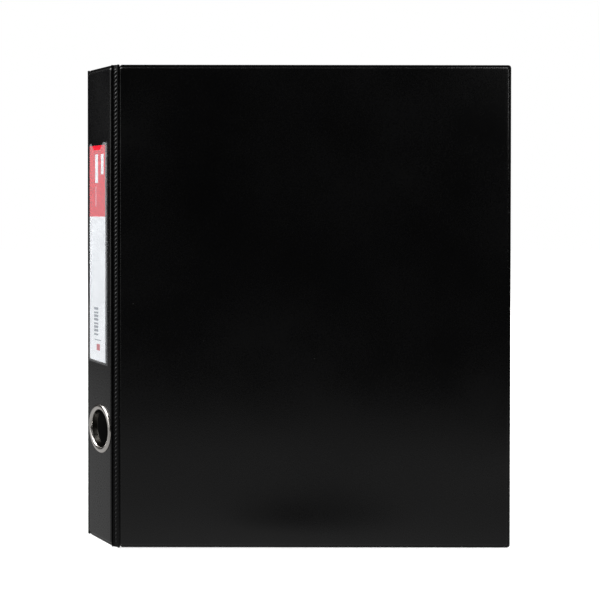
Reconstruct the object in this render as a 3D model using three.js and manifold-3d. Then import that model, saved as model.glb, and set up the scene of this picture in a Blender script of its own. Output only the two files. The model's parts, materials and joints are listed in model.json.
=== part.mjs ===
// A4 ring binder: three welded-vinyl panels (front cover, spine, back cover) joined by two embossed hinge strips,
// with a four-ring D mechanism riveted to the back cover, a finger ring and a label pocket in the spine.
// Millimetres, +Z up, standing on its bottom edges. The front cover stands open by REST_OPEN_DEG, its outer face towards -Y.
import * as THREE from "three";
import { mergeVertices } from "three/addons/utils/BufferGeometryUtils.js";
import Module from "manifold-3d";

const wasm = await Module();
wasm.setup();

// ---- driving dimensions -------------------------------------------------------------------------
const REST_OPEN_DEG = 36; // front cover's angle from closed (closed = square to the spine)
const HEIGHT = 318; // binder height
const COVER_W = 258; // hinge crease to fore-edge
const SPINE_W = 35.5; // crease to crease across the spine
const STRIP_W = 4.4; // hinge strip, crease to crease
const BOARD_T = 2.0; // greyboard
const FILM_T = 0.3; // vinyl film
const FILM_GAP = 0.05; // film to board
const WELD_W = 1.9; // weld flange round the free edges
const CREASE_GAP = 0.35; // each panel stops this far short of its crease
const HINGE_EDGE = 1.1; // crease to board
const CORNER_R = 2.2;

const RING_Z = 75.7; // finger ring centre above the bottom edge
const RING_BORE_R = 12.5; // clear radius through the finger ring
const RING_OUT_R = 16.3;
const RING_HOLE_R = 13.5; // hole punched through the spine
const RING_SIDE = 0.9; // finger ring's centre, off the spine's middle towards the front cover

const POCKET_N0 = 5.4; // label pocket's side edges, from the spine's front crease
const POCKET_N1 = 33.3;
const POCKET_Z0 = 118.9;
const POCKET_Z1 = 267.6;
const LABEL_N0 = 8.2;
const LABEL_N1 = 31.8;
const LABEL_Z0 = 120.5;
const LABEL_Z1 = 266.0;
const NOTCH_DEPTH = 4.5;

const MECH_U = 30.5; // mechanism centre line from the spine's mid-plane
const CASING_HALF = 137; // half the casing's length
const RING_PITCH = 80; // hole spacing
const RIVET_OFF = 80; // rivets, either side of mid-height
const WIRE_R = 1.8; // ring wire radius
const PIVOT_U = 9.2; // blade pivots either side of the centre line
const PIVOT_H = 4.0; // pivot height above the back cover's inner face
const BLADE_T = 0.9;
const BLADE_W = 9.05; // pivot to inner edge
const BLADE_TILT = 7.5; // degrees; closed blades dip by this much at the middle
const LEVER_IN = 1.5; // lever pivot, in from the casing's end

// ---- derived ------------------------------------------------------------------------------------
const D45 = STRIP_W / Math.SQRT2; // setback of a crease from the corner when closed
const DEPTH = SPINE_W + 2 * D45; // front mid-plane to back mid-plane, closed
const FACE = BOARD_T / 2 + FILM_GAP + FILM_T; // mid-plane to a film's outer surface
const N0 = DEPTH - FACE; // inner face of the back cover (closed frame)
const MID = HEIGHT / 2;
const RAD = Math.PI / 180;

// ---- helpers ------------------------------------------------------------------------------------
function solid(geometry) {
  let g = geometry.index ? geometry.toNonIndexed() : geometry.clone();
  g.deleteAttribute("normal");
  g.deleteAttribute("uv");
  g = mergeVertices(g, 1e-4);
  return new wasm.Manifold(
    new wasm.Mesh({
      numProp: 3,
      vertProperties: new Float32Array(g.attributes.position.array),
      triVerts: new Uint32Array(g.index.array),
    }),
  );
}
function geometryOf(made) {
  const m = made.getMesh(),
    n = m.numProp,
    v = new Float32Array(m.numVert * 3);
  for (let i = 0; i < m.numVert; i++)
    v.set(m.vertProperties.subarray(i * n, i * n + 3), i * 3);
  const g = new THREE.BufferGeometry()
    .setAttribute("position", new THREE.BufferAttribute(v, 3))
    .setIndex(new THREE.BufferAttribute(new Uint32Array(m.triVerts), 1));
  g.computeVertexNormals();
  return g;
}
const block = (x0, x1, y0, y1, z0, z1) =>
  new THREE.BoxGeometry(x1 - x0, y1 - y0, z1 - z0).translate(
    (x0 + x1) / 2,
    (y0 + y1) / 2,
    (z0 + z1) / 2,
  );
// Rounded rectangle; r is [bottom-left, bottom-right, top-right, top-left].
function roundRect(a0, a1, b0, b1, r) {
  const [r0, r1, r2, r3] = Array.isArray(r) ? r : [r, r, r, r];
  const s = new THREE.Shape();
  s.moveTo(a0 + r0, b0);
  s.lineTo(a1 - r1, b0);
  if (r1) s.absarc(a1 - r1, b0 + r1, r1, -Math.PI / 2, 0, false);
  s.lineTo(a1, b1 - r2);
  if (r2) s.absarc(a1 - r2, b1 - r2, r2, 0, Math.PI / 2, false);
  s.lineTo(a0 + r3, b1);
  if (r3) s.absarc(a0 + r3, b1 - r3, r3, Math.PI / 2, Math.PI, false);
  s.lineTo(a0, b0 + r0);
  if (r0) s.absarc(a0 + r0, b0 + r0, r0, Math.PI, 1.5 * Math.PI, false);
  return s;
}
const extrude = (shape, depth, curveSegments = 4) =>
  new THREE.ExtrudeGeometry(shape, {
    depth,
    bevelEnabled: false,
    curveSegments,
  });
// A plate whose outline is drawn in (x, z) and whose thickness runs y0..y1.
const plateXZ = (shape, y0, y1, seg) =>
  extrude(shape, y1 - y0, seg)
    .rotateX(Math.PI / 2)
    .translate(0, y1, 0);
// A plate whose outline is drawn in (y, z) and whose thickness runs x0..x1.
const plateYZ = (shape, x0, x1, seg) =>
  extrude(shape, x1 - x0, seg)
    .rotateX(Math.PI / 2)
    .rotateZ(Math.PI / 2)
    .translate(x0, 0, 0);
const polygon = (pts) => {
  const s = new THREE.Shape();
  pts.forEach(([x, y], i) => (i ? s.lineTo(x, y) : s.moveTo(x, y)));
  return s;
};
const rod = (r, length, seg = 20) => new THREE.CylinderGeometry(r, r, length, seg);
const rodY = (r, y0, y1, x, z, seg) => rod(r, y1 - y0, seg).translate(x, (y0 + y1) / 2, z);
const rodX = (r, x0, x1, y, z, seg) =>
  rod(r, x1 - x0, seg)
    .rotateZ(Math.PI / 2)
    .translate((x0 + x1) / 2, y, z);
const union = (...g) => g.map(solid).reduce((a, b) => a.add(b));
const cut = (a, ...tools) => tools.reduce((s, t) => s.subtract(solid(t)), a);

const look = {
  vinyl: { color: 0x0b0b0c, roughness: 0.38, metalness: 0 },
  liner: { color: 0x0e0e0f, roughness: 0.5, metalness: 0 },
  board: { color: 0x8a8377, roughness: 0.95, metalness: 0 },
  chrome: { color: 0xc9c6c2, roughness: 0.18, metalness: 1 },
  steel: { color: 0xb4b4b6, roughness: 0.3, metalness: 1 },
  pocket: { color: 0xbfc6cc, roughness: 0.2, metalness: 0, transparent: true, opacity: 0.3 },
  paper: { color: 0xd8304a, roughness: 0.75, metalness: 0 },
};
function part(name, geometry, material, parent) {
  const g = geometry.isBufferGeometry ? geometry : geometryOf(geometry);
  const m = new THREE.Mesh(g, new THREE.MeshStandardMaterial(look[material]));
  m.name = name;
  parent.add(m);
  return m;
}

// ---- groups: the closed binder is drawn square, then turned so the open front cover faces -Y -------
const binder = new THREE.Group();
const spine = new THREE.Group();
spine.rotation.z = REST_OPEN_DEG * RAD;
binder.add(spine);
const frontHinge = new THREE.Group(); // origin on the spine's front crease
frontHinge.position.set(0, D45, 0);
frontHinge.rotation.z = (-REST_OPEN_DEG / 2) * RAD;
spine.add(frontHinge);
const frontCover = new THREE.Group(); // origin on the cover's crease
frontCover.position.set(D45, -D45, 0);
frontCover.rotation.z = (-REST_OPEN_DEG / 2) * RAD;
frontHinge.add(frontCover);
const backHinge = new THREE.Group();
backHinge.position.set(0, DEPTH - D45, 0);
spine.add(backHinge);
const backCover = new THREE.Group(); // origin on the back cover's crease, mid-plane
backCover.position.set(D45, D45, 0);
backHinge.add(backCover);

// ---- cover panels ---------------------------------------------------------------------------------
// x from the crease to the fore-edge, y across the thickness (0 = mid-plane), z up. side = -1: film on -y.
const B0 = HINGE_EDGE,
  B1 = COVER_W - WELD_W,
  BZ0 = WELD_W,
  BZ1 = HEIGHT - WELD_W;
function coverTray(side) {
  const flange = plateXZ(
    roundRect(CREASE_GAP, COVER_W, 0, HEIGHT, [0.4, CORNER_R, CORNER_R, 0.4]),
    side < 0 ? -FILM_T : 0.02,
    side < 0 ? -0.02 : FILM_T,
  );
  const w = FILM_T + FILM_GAP;
  const shell = plateXZ(
    roundRect(B0 - w, B1 + w, BZ0 - w, BZ1 + w, 1.4),
    side < 0 ? -FACE : 0.02,
    side < 0 ? -0.02 : FACE,
  );
  const room = plateXZ(
    roundRect(B0 - FILM_GAP, B1 + FILM_GAP, BZ0 - FILM_GAP, BZ1 + FILM_GAP, 1.1),
    side < 0 ? -FACE + FILM_T : -1,
    side < 0 ? 1 : FACE - FILM_T,
  );
  return cut(union(flange, shell), room);
}
const coverBoard = () =>
  plateXZ(roundRect(B0, B1, BZ0, BZ1, 1.0), -BOARD_T / 2, BOARD_T / 2);

part("front_cover_outer_film", coverTray(-1), "vinyl", frontCover);
part("front_cover_board", coverBoard(), "board", frontCover);
part("front_cover_liner_film", coverTray(1), "liner", frontCover);

const rivetX = MECH_U - D45; // mechanism centre line, in the back cover's group
const rivetHoles = (r) =>
  [MID - RIVET_OFF, MID + RIVET_OFF].map((z) => rodY(r, -4, 4, rivetX, z, 20));
part("back_cover_outer_film", cut(coverTray(1), ...rivetHoles(2.3)), "vinyl", backCover);
part("back_cover_board", cut(solid(coverBoard()), ...rivetHoles(2.3)), "board", backCover);
part("back_cover_liner_film", cut(coverTray(-1), ...rivetHoles(2.3)), "liner", backCover);

// ---- hinge strips: both films welded into one ribbed band -------------------------------------------
// Drawn along +x from the spine's crease, then turned to run to the cover's crease.
function stripOf() {
  const band = block(CREASE_GAP, STRIP_W - CREASE_GAP, -FILM_T, FILM_T, 0, HEIGHT);
  const rope = extrude(
    polygon([
      [0.7, -FILM_T + 0.01],
      [1.1, -FILM_T - 0.3],
      [3.3, -FILM_T - 0.3],
      [3.7, -FILM_T + 0.01],
    ]),
    HEIGHT - 6,
  ).translate(0, 0, 3);
  return union(band, rope);
}
part(
  "front_hinge_strip",
  geometryOf(stripOf()).rotateZ(-45 * RAD),
  "vinyl",
  frontHinge,
);
// The back strip mirrors the front one across the binder's mid-plane.
part(
  "back_hinge_strip",
  geometryOf(stripOf())
    .rotateX(Math.PI)
    .translate(0, 0, HEIGHT)
    .rotateZ(45 * RAD),
  "vinyl",
  backHinge,
);

// ---- spine ------------------------------------------------------------------------------------------
const SN0 = D45,
  SN1 = DEPTH - D45,
  SMID = DEPTH / 2 - RING_SIDE;
const holeX = (r, seg = 32) => rodX(r, -6, 6, SMID, RING_Z, seg);
function spineTray(side) {
  const flange = plateYZ(
    roundRect(SN0 + CREASE_GAP, SN1 - CREASE_GAP, 0, HEIGHT, 0.6),
    side < 0 ? -FILM_T : 0.02,
    side < 0 ? -0.02 : FILM_T,
  );
  const w = FILM_T + FILM_GAP,
    a0 = SN0 + HINGE_EDGE,
    a1 = SN1 - HINGE_EDGE;
  const shell = plateYZ(
    roundRect(a0 - w, a1 + w, BZ0 - w, BZ1 + w, 1.4),
    side < 0 ? -FACE : 0.02,
    side < 0 ? -0.02 : FACE,
  );
  const room = plateYZ(
    roundRect(a0 - FILM_GAP, a1 + FILM_GAP, BZ0 - FILM_GAP, BZ1 + FILM_GAP, 1.1),
    side < 0 ? -FACE + FILM_T : -1,
    side < 0 ? 1 : FACE - FILM_T,
  );
  return cut(union(flange, shell), room, holeX(RING_HOLE_R));
}
part("spine_outer_film", spineTray(-1), "vinyl", spine);
part(
  "spine_board",
  cut(
    solid(
      plateYZ(
        roundRect(SN0 + HINGE_EDGE, SN1 - HINGE_EDGE, BZ0, BZ1, 1.0),
        -BOARD_T / 2,
        BOARD_T / 2,
      ),
    ),
    holeX(RING_HOLE_R),
  ),
  "board",
  spine,
);
part("spine_liner_film", spineTray(1), "liner", spine);

// Finger ring: an eyelet clinched over a washer. Profiles are (radius, height along the spine's outward normal).
const lathe = (pts, seg) =>
  new THREE.LatheGeometry(
    pts.map(([r, y]) => new THREE.Vector2(r, y)),
    seg,
  );
const OUTF = FACE + 0.05; // eyelet seats here on the outer face
const toSpine = (g) => g.rotateZ(Math.PI / 2).translate(0, SMID, RING_Z);
part(
  "finger_ring_eyelet",
  toSpine(
    lathe(
      [
        [RING_BORE_R, -OUTF - 1.15],
        [14.6, -OUTF - 1.15],
        [14.9, -OUTF - 0.85],
        [14.6, -OUTF - 0.7],
        [13.3, -OUTF - 0.7],
        [13.2, OUTF],
        [RING_OUT_R, OUTF],
        [RING_OUT_R, OUTF + 0.4],
        [15.5, OUTF + 0.95],
        [14.3, OUTF + 1.15],
        [13.1, OUTF + 1.0],
        [RING_BORE_R, OUTF + 0.5],
        [RING_BORE_R, -OUTF - 1.15],
      ],
      32,
    ),
  ),
  "chrome",
  spine,
);
part(
  "finger_ring_washer",
  toSpine(
    lathe(
      [
        [13.45, -OUTF - 0.6],
        [15.9, -OUTF - 0.6],
        [16.1, -OUTF - 0.3],
        [15.9, -OUTF],
        [13.45, -OUTF],
        [13.45, -OUTF - 0.6],
      ],
      32,
    ),
  ),
  "steel",
  spine,
);

// Label pocket: clear film welded to the spine on three edges, open and notched at the top.
const P0 = SN0 + POCKET_N0,
  P1 = SN0 + POCKET_N1,
  NM = SN0 + (LABEL_N0 + LABEL_N1) / 2,
  PX = -FACE - 0.05;
const pocketSheet = polygon([
  [P0, POCKET_Z0],
  [P1, POCKET_Z0],
  [P1, POCKET_Z1],
  [NM + 7.4, POCKET_Z1],
  [NM + 6.8, POCKET_Z1 - 1.6],
  [NM + 4.6, POCKET_Z1 - NOTCH_DEPTH + 0.5],
  [NM + 3.4, POCKET_Z1 - NOTCH_DEPTH],
  [NM - 3.4, POCKET_Z1 - NOTCH_DEPTH],
  [NM - 4.6, POCKET_Z1 - NOTCH_DEPTH + 0.5],
  [NM - 6.8, POCKET_Z1 - 1.6],
  [NM - 7.4, POCKET_Z1],
  [P0, POCKET_Z1],
]);
part(
  "label_pocket_film",
  union(
    plateYZ(pocketSheet, PX - 0.85, PX - 0.6),
    block(PX - 0.85, PX, P0, P0 + 0.9, POCKET_Z0, POCKET_Z1),
    block(PX - 0.85, PX, P1 - 0.9, P1, POCKET_Z0, POCKET_Z1),
    block(PX - 0.85, PX, P0, P1, POCKET_Z0, POCKET_Z0 + 1.2),
  ),
  "pocket",
  spine,
);
part(
  "label_insert",
  plateYZ(
    roundRect(SN0 + LABEL_N0, SN0 + LABEL_N1, LABEL_Z0, LABEL_Z1, 0.6),
    PX - 0.45,
    PX - 0.15,
    2,
  ),
  "paper",
  spine,
);

// ---- ring mechanism, in the back cover's group -------------------------------------------------------
// (du, h): du from the mechanism's centre line towards the fore-edge, h above the back cover's inner face.
const mech = new THREE.Group();
mech.position.set(rivetX, -FACE, 0);
backCover.add(mech);
const uh = ([du, h]) => [du, -h];

// Casing: an arched strip with curled lips that hold the blades' outer edges.
const casingShape = polygon(
  [
    [-8.5, 2.2], [-9.8, 2.2], [-10.6, 3.0], [-10.6, 5.0], [-9.6, 6.7], [-5.2, 7.9], [0, 8.2],
    [5.2, 7.9], [9.6, 6.7], [10.6, 5.0], [10.6, 3.0], [9.8, 2.2], [8.5, 2.2],
    [8.5, 2.9], [9.5, 2.9], [9.85, 3.3], [9.85, 4.8], [9.1, 6.05], [5.1, 7.1], [0, 7.4],
    [-5.1, 7.1], [-9.1, 6.05], [-9.85, 4.8], [-9.85, 3.3], [-9.5, 2.9], [-8.5, 2.9],
  ].map(uh),
);
const ringZ = [-1.5, -0.5, 0.5, 1.5].map((k) => MID + k * RING_PITCH);
const slotAt = (du, z) =>
  plateXZ(roundRect(du - 2.9, du + 2.9, z - 2.35, z + 2.35, 2.0), -12, -5, 4);
let casing = solid(
  extrude(casingShape, 2 * CASING_HALF).translate(0, 0, MID - CASING_HALF),
);
casing = cut(
  casing,
  ...ringZ.flatMap((z) => [slotAt(-6.9, z), slotAt(6.9, z)]),
  ...[-1, 1].map((k) => rodY(2.15, -9, -5, 0, MID + k * RIVET_OFF, 20)),
  ...[-1, 1].map((k) =>
    rodX(1.1, -12, 12, -PIVOT_H, MID + k * (CASING_HALF - LEVER_IN), 14),
  ),
  // the crown is cut back at each end to let the lever through
  ...[-1, 1].map((k) =>
    block(
      -7.4,
      7.4,
      -9,
      -5.2,
      MID + k * CASING_HALF - 4.6,
      MID + k * CASING_HALF + 4.6,
    ),
  ),
);
part("ring_casing", casing, "chrome", mech);

for (const [k, where] of [
  [1, "upper"],
  [-1, "lower"],
]) {
  const z = MID + k * RIVET_OFF;
  // spacer post between the cover and the casing
  part(
    "rivet_post_" + where,
    lathe(
      [
        [2.2, 0.05],
        [3.3, 0.05],
        [3.3, 7.1],
        [2.2, 7.1],
        [2.2, 0.05],
      ],
      20,
    )
      .rotateX(Math.PI)
      .scale(-1, 1, -1)
      .translate(0, 0, z),
    "steel",
    mech,
  );
  // rivet: wide head outside the cover, clinched head over the casing
  const base = -2 * FACE - 0.05;
  part(
    "rivet_" + where,
    lathe(
      [
        [0, base - 1.1],
        [2.6, base - 1.0],
        [4.2, base - 0.55],
        [4.6, base],
        [1.95, base],
        [1.95, 8.25],
        [3.7, 8.25],
        [3.3, 8.95],
        [1.8, 9.35],
        [0, 9.45],
      ],
      20,
    )
      .rotateX(Math.PI)
      .scale(-1, 1, -1)
      .translate(0, 0, z),
    "steel",
    mech,
  );
  part(
    "lever_pin_" + (k > 0 ? "top" : "bottom"),
    union(
      rodX(0.9, -10.9, 10.9, -PIVOT_H, MID + k * (CASING_HALF - LEVER_IN), 14),
      rodX(1.5, -11.5, -10.85, -PIVOT_H, MID + k * (CASING_HALF - LEVER_IN), 14),
      rodX(1.5, 10.85, 11.5, -PIVOT_H, MID + k * (CASING_HALF - LEVER_IN), 14),
    ),
    "steel",
    mech,
  );
}

// Blades: two steel strips whose inner edges dip to close the rings and rise to open them.
// side = -1 is the one next to the spine. Drawn flat in the blade's own group, with the pivot at its origin.
const BLADE_Z0 = MID - CASING_HALF + LEVER_IN + 3.2,
  BLADE_Z1 = MID + CASING_HALF - LEVER_IN - 3.2;
const ringRoot = 2.6; // ring tenon, in from the pivot
const bladeGroups = {};
for (const side of [-1, 1]) {
  const group = new THREE.Group();
  group.position.set(side * PIVOT_U, -PIVOT_H, 0);
  group.rotation.z = -side * BLADE_TILT * RAD;
  mech.add(group);
  bladeGroups[side] = group;
  const inward = -side;
  const x0 = Math.min(-0.35 * inward, BLADE_W * inward),
    x1 = Math.max(-0.35 * inward, BLADE_W * inward);
  const blade = cut(
    solid(block(x0, x1, -BLADE_T / 2, BLADE_T / 2, BLADE_Z0, BLADE_Z1)),
    ...ringZ.map((z) => rodY(1.25, -2, 2, ringRoot * inward, z, 14)),
    ...[-1, 1].map((k) =>
      rodY(4.2, -2, 2, PIVOT_U * inward, MID + k * RIVET_OFF, 24),
    ),
  );
  part(side < 0 ? "blade_spine_side" : "blade_fore_side", blade, "steel", group);
}

// D rings. Centre lines are given closed, as (du, h); the straight leg is on the fore-edge side.
const TIP = 3.6;
const CLOSED = {
  "1": [
    [7.6, 8.6], [9.4, 10.6], [11.6, 13.0], [12.6, 15.6], [12.7, 19.0], [12.7, 23.0],
    [12.5, 26.6], [11.2, 29.6], [8.6, 31.4], [6.2, 31.9], [TIP + 0.06, 32.0],
  ],
  "-1": [
    [-7.8, 8.6], [-9.8, 10.8], [-12.0, 13.8], [-13.3, 17.6], [-12.9, 21.6], [-10.9, 25.6],
    [-7.6, 28.9], [-3.6, 31.1], [0.4, 31.95], [TIP - 0.06, 32.0],
  ],
};
const wire = new THREE.Shape();
wire.absarc(0, 0, WIRE_R, 0, 2 * Math.PI, false);
for (const side of [-1, 1]) {
  const group = bladeGroups[side];
  const inward = -side,
    a = side * BLADE_TILT * RAD; // closed frame to blade frame
  const local = ([du, h]) => {
    const x = du - side * PIVOT_U,
      y = -(h - PIVOT_H);
    return [x * Math.cos(a) - y * Math.sin(a), x * Math.sin(a) + y * Math.cos(a)];
  };
  const root = [
    [ringRoot * inward, -(BLADE_T / 2 + 0.08)],
    [ringRoot * inward, -(BLADE_T / 2 + 1.4)],
    [ringRoot * inward - 0.1 * inward, -(BLADE_T / 2 + 2.7)],
  ];
  const points = [...root, ...CLOSED[String(side)].map(local)].map(
    ([x, y]) => new THREE.Vector3(x, y, 0),
  );
  const path = new THREE.CatmullRomCurve3(points, false, "centripetal");
  const tube = new THREE.ExtrudeGeometry(wire, {
    steps: 20,
    extrudePath: path,
    curveSegments: 4,
    bevelEnabled: false,
  });
  const half = union(
    tube,
    rodY(1.1, -(BLADE_T / 2 + 1.2), BLADE_T / 2 + 0.3, ringRoot * inward, 0, 12),
    rodY(1.7, BLADE_T / 2 + 0.08, BLADE_T / 2 + 0.55, ringRoot * inward, 0, 12),
  );
  const g = geometryOf(half);
  ringZ.forEach((z, i) => {
    part(
      "ring_" + (i + 1) + (side < 0 ? "_spine_half" : "_fore_half"),
      g.clone().translate(0, 0, z),
      "chrome",
      group,
    );
  });
}

// Levers: pivot on the casing's end pins; the tongue lies under the blades. Drawn for the top end in (z out, h).
const leverProfile = polygon([
  [-4.4, 1.2], [-4.4, 2.05], [-2.7, 2.1], [-2.1, 3.4], [-1.7, 4.9], [-0.9, 5.5], [0.8, 5.75], [1.9, 6.6],
  [2.2, 8.4], [2.2, 21.8], [2.8, 24.6], [4.4, 26.6], [5.6, 26.0], [4.1, 23.9], [3.6, 21.4],
  [3.6, 6.4], [2.6, 4.2], [1.4, 2.6], [0.2, 1.9], [-1.6, 1.2],
]);
for (const k of [1, -1]) {
  const zp = MID + k * (CASING_HALF - LEVER_IN);
  const g = new THREE.Group();
  g.position.set(0, -PIVOT_H, zp);
  mech.add(g);
  // (z out, h) -> (z, y): extrude runs along x after turning
  const wide = extrude(leverProfile, 12.4)
    .translate(0, 0, -6.2)
    .rotateY(-Math.PI / 2); // x -> z, z -> -x, y stays
  let body = solid(wide);
  // the tongue is narrower than the handle
  body = cut(
    body,
    block(-7, -3.2, 0, 3.0, -6, -2.0),
    block(3.2, 7, 0, 3.0, -6, -2.0),
    rodX(1.08, -8, 8, PIVOT_H, 0, 14),
  );
  const geo = geometryOf(body)
    .translate(0, -PIVOT_H, 0)
    .scale(1, -1, k); // h points to -y; the bottom lever is the mirror image of the top one
  if (k > 0) {
    // one mirror turns the faces round, so restore them
    const idx = geo.index.array;
    for (let i = 0; i < idx.length; i += 3) [idx[i + 1], idx[i + 2]] = [idx[i + 2], idx[i + 1]];
  }
  geo.computeVertexNormals();
  part(k > 0 ? "lever_top" : "lever_bottom", geo, "chrome", g);
}

// ---- origin: centre of the standing binder's footprint -------------------------------------------------
binder.updateMatrixWorld(true);
const box = new THREE.Box3().setFromObject(binder, true);
binder.position.set(-(box.min.x + box.max.x) / 2, -(box.min.y + box.max.y) / 2, -box.min.z);
binder.updateMatrixWorld(true);

const root = new THREE.Group();
root.add(binder);
export default root;
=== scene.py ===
# Ring binder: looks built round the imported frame. Lengths in the builders below are millimetres in a piece's own
# frame (x, y, z), turned into the row frame in metres by a matrix.
import bpy
import bmesh
import json
import math
import random
from mathutils import Matrix, Vector, noise


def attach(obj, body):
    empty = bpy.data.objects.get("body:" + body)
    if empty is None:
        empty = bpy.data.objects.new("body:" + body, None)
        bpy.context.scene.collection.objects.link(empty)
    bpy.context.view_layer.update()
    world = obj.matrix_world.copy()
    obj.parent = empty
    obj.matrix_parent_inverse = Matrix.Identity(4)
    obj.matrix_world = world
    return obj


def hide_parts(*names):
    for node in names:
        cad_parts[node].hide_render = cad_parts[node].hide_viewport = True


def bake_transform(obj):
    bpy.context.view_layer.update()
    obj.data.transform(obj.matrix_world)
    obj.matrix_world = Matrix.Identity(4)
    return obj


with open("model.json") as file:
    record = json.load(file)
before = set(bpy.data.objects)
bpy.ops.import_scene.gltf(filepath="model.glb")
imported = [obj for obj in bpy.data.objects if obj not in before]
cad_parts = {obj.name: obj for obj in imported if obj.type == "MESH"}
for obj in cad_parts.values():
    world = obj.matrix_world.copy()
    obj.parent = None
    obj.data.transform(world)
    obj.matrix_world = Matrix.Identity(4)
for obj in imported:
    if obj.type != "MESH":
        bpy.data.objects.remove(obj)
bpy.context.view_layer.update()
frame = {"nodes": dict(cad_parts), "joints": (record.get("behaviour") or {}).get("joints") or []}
random.seed(7)

# ---------------------------------------------------------------- frames, the same as the CAD groups
OPEN = 36.0
HEIGHT = 318.0
COVER_W = 258.0
SPINE_W = 35.5
STRIP_W = 4.4
FILM_T = 0.3
FILM_GAP = 0.05
BOARD_T = 2.0
WELD_W = 1.9
HINGE_EDGE = 1.1
D45 = STRIP_W / math.sqrt(2)
DEPTH = SPINE_W + 2 * D45
FACE = BOARD_T / 2 + FILM_GAP + FILM_T
MID = HEIGHT / 2
MECH_U = 30.5
RIVET_X = MECH_U - D45
RING_Z = 75.7
RING_SIDE = 0.9


def Rz(deg):
    return Matrix.Rotation(math.radians(deg), 4, "Z")


def T(x, y, z=0.0):
    return Matrix.Translation((x, y, z))


joints = {j["name"]: j for j in frame["joints"]}
crease = Vector(joints["front_hinge_fold"]["pos_m"]) * 1000
origin = crease - (Rz(OPEN) @ Vector((0, D45, 0)))
F_SPINE = T(origin.x, origin.y) @ Rz(OPEN)
F_FHINGE = F_SPINE @ T(0, D45) @ Rz(-OPEN / 2)
F_FCOVER = F_FHINGE @ T(D45, -D45) @ Rz(-OPEN / 2)
F_BHINGE = F_SPINE @ T(0, DEPTH - D45)
F_BCOVER = F_BHINGE @ T(D45, D45)
F_MECH = F_BCOVER @ T(RIVET_X, -FACE)
MM = Matrix.Scale(0.001, 4)


# ---------------------------------------------------------------- node materials
def new_mat(name):
    m = bpy.data.materials.new(name)
    m.use_nodes = True
    nt = m.node_tree
    nt.nodes.clear()
    out = nt.nodes.new("ShaderNodeOutputMaterial")
    return m, nt, out


def N(nt, kind, **kw):
    n = nt.nodes.new(kind)
    for k, v in kw.items():
        if k in n.inputs.keys():
            n.inputs[k].default_value = v
        else:
            setattr(n, k, v)
    return n


def coords(nt, scale=(1, 1, 1)):
    tc = nt.nodes.new("ShaderNodeTexCoord")
    mp = nt.nodes.new("ShaderNodeMapping")
    mp.inputs["Scale"].default_value = scale
    nt.links.new(tc.outputs["Object"], mp.inputs["Vector"])
    return mp.outputs["Vector"]


def ramp(nt, src, stops):
    r = nt.nodes.new("ShaderNodeValToRGB")
    els = r.color_ramp.elements
    while len(els) < len(stops):
        els.new(0.5)
    for e, (p, c) in zip(els, stops):
        e.position = p
        e.color = (c, c, c, 1) if isinstance(c, (int, float)) else (*c, 1)
    nt.links.new(src, r.inputs["Fac"])
    return r.outputs["Color"]


def mix(nt, fac, a, b, kind="MIX"):
    n = nt.nodes.new("ShaderNodeMix")
    n.data_type = "RGBA"
    n.blend_type = kind
    for sock, v in ((n.inputs[0], fac), (n.inputs[6], a), (n.inputs[7], b)):
        if hasattr(v, "is_linked") or hasattr(v, "links"):
            nt.links.new(v, sock)
        elif isinstance(v, (int, float)):
            sock.default_value = v
        else:
            sock.default_value = (*v, 1)
    return n.outputs[2]


def vinyl(name, base, rough, grain=1.0, specks=True, spec=0.5):
    """Calendered vinyl film: fine leather-like grain, slight unevenness of gloss, dust specks."""
    m, nt, out = new_mat(name)
    p = N(nt, "ShaderNodeBsdfPrincipled")
    p.inputs["Specular IOR Level"].default_value = spec
    v = coords(nt)
    broad = N(nt, "ShaderNodeTexNoise", Scale=14.0, Detail=3.0, Roughness=0.55)
    nt.links.new(v, broad.inputs["Vector"])
    fine = N(nt, "ShaderNodeTexNoise", Scale=900.0, Detail=3.0, Roughness=0.6)
    nt.links.new(v, fine.inputs["Vector"])
    cells = N(nt, "ShaderNodeTexVoronoi", Scale=1250.0)
    cells.feature = "SMOOTH_F1"
    nt.links.new(v, cells.inputs["Vector"])
    # colour: nearly black, a little patchy
    tone = ramp(nt, broad.outputs["Fac"], [(0.3, tuple(0.82 * b for b in base)), (0.7, tuple(1.2 * b for b in base))])
    if specks:
        sp = N(nt, "ShaderNodeTexVoronoi", Scale=150.0)
        nt.links.new(v, sp.inputs["Vector"])
        dot = ramp(nt, sp.outputs["Distance"], [(0.0, 1.0), (0.055, 0.0)])
        rare = N(nt, "ShaderNodeTexWhiteNoise")
        nt.links.new(sp.outputs["Position"], rare.inputs["Vector"])
        few = ramp(nt, rare.outputs["Value"], [(0.965, 0.0), (0.975, 1.0)])
        both = mix(nt, 1.0, dot, few, "MULTIPLY")
        tone = mix(nt, both, tone, (0.11, 0.11, 0.11))
    nt.links.new(tone, p.inputs["Base Color"])
    # gloss: broad patches and fine breakup
    rr = ramp(nt, broad.outputs["Fac"], [(0.3, rough - 0.035), (0.7, rough + 0.045)])
    rf = ramp(nt, fine.outputs["Fac"], [(0.3, 0.0), (0.75, 0.09)])
    add = mix(nt, 1.0, rr, rf, "ADD")
    nt.links.new(add, p.inputs["Roughness"])
    # grain: pebbled cells over fine noise
    h = mix(nt, 0.45, cells.outputs["Distance"], fine.outputs["Fac"])
    b = N(nt, "ShaderNodeBump", Strength=0.16 * grain, Distance=0.00012)
    nt.links.new(h, b.inputs["Height"])
    nt.links.new(b.outputs["Normal"], p.inputs["Normal"])
    nt.links.new(p.outputs["BSDF"], out.inputs["Surface"])
    return m


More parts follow.
